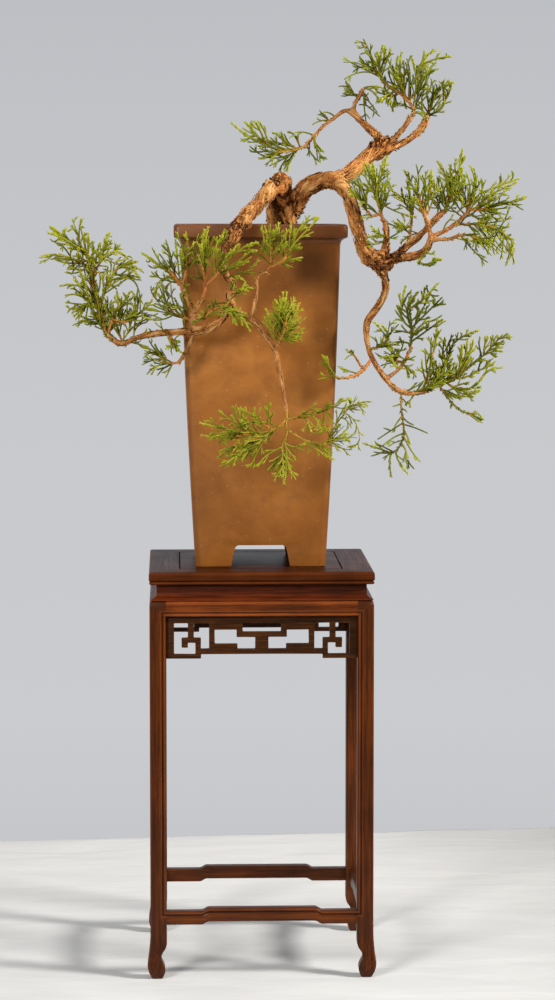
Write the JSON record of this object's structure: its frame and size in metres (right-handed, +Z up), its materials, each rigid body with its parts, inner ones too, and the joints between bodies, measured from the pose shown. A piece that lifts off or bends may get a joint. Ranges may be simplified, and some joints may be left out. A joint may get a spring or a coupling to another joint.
{
  "type": "juniper bonsai",
  "caption": "Cascading juniper bonsai with twisting bare branches and small foliage fans, in a tall square clay pot on a lacquered openwork wooden stand.",
  "frame": {"origin": "middle of the bounding box in plan, on the floor under the feet of the stand", "axes": "+Z up, -Y towards the front face of the stand and the viewer, +X to the right in that view"},
  "size_m": [0.3538, 0.201, 0.6927],
  "materials": {
    "lacquer": "satin reddish-brown lacquer",
    "clay": "unglazed fired clay, lightly burnished",
    "earth": "matt granular soil",
    "bark": "rough stringy bark",
    "leaf": "matt scale leaves"
  },
  "bodies": {
    "root": {"stand_top_frame": "lacquer", "stand_top_panel": "lacquer", "stand_waist": "lacquer", "stand_leg_front_left": "lacquer", "stand_leg_front_right": "lacquer", "stand_leg_back_right": "lacquer", "stand_leg_back_left": "lacquer", "stand_apron_front": "lacquer", "stand_apron_right": "lacquer", "stand_apron_back": "lacquer", "stand_apron_left": "lacquer", "stand_lattice_front": "lacquer", "stand_lattice_right": "lacquer", "stand_lattice_back": "lacquer", "stand_lattice_left": "lacquer", "stand_stretcher_front": "lacquer", "stand_stretcher_right": "lacquer", "stand_stretcher_back": "lacquer", "stand_stretcher_left": "lacquer", "pot": "clay", "soil": "earth", "wood": "bark", "foliage_apex_crown": "leaf", "foliage_apex_right": "leaf", "foliage_arch_sprig": "leaf", "foliage_arch_up": "leaf", "foliage_bough_left": "leaf", "foliage_bough_low": "leaf", "foliage_bough_top": "leaf", "foliage_crown": "leaf", "foliage_crown_right": "leaf", "foliage_drop_left": "leaf", "foliage_fan_left": "leaf", "foliage_fan_mid": "leaf", "foliage_far_low": "leaf", "foliage_far_under": "leaf", "foliage_fork_sprig": "leaf", "foliage_front_low": "leaf", "foliage_front_mid": "leaf", "foliage_front_top": "leaf", "foliage_hanging": "leaf", "foliage_inner": "leaf", "foliage_inner_low": "leaf", "foliage_left_inner": "leaf", "foliage_left_low": "leaf", "foliage_left_mid": "leaf", "foliage_left_out": "leaf", "foliage_left_top": "leaf", "foliage_low_left": "leaf", "foliage_low_mid": "leaf", "foliage_low_right": "leaf", "foliage_over_pot": "leaf", "foliage_pad_hanging": "leaf", "foliage_pad_outer": "leaf", "foliage_rim_left": "leaf", "foliage_rim_right": "leaf", "foliage_rise": "leaf", "foliage_twig_sprig": "leaf", "foliage_under_sprig": "leaf", "foliage_wiggle_sprig": "leaf"}
  },
  "joints": []
}
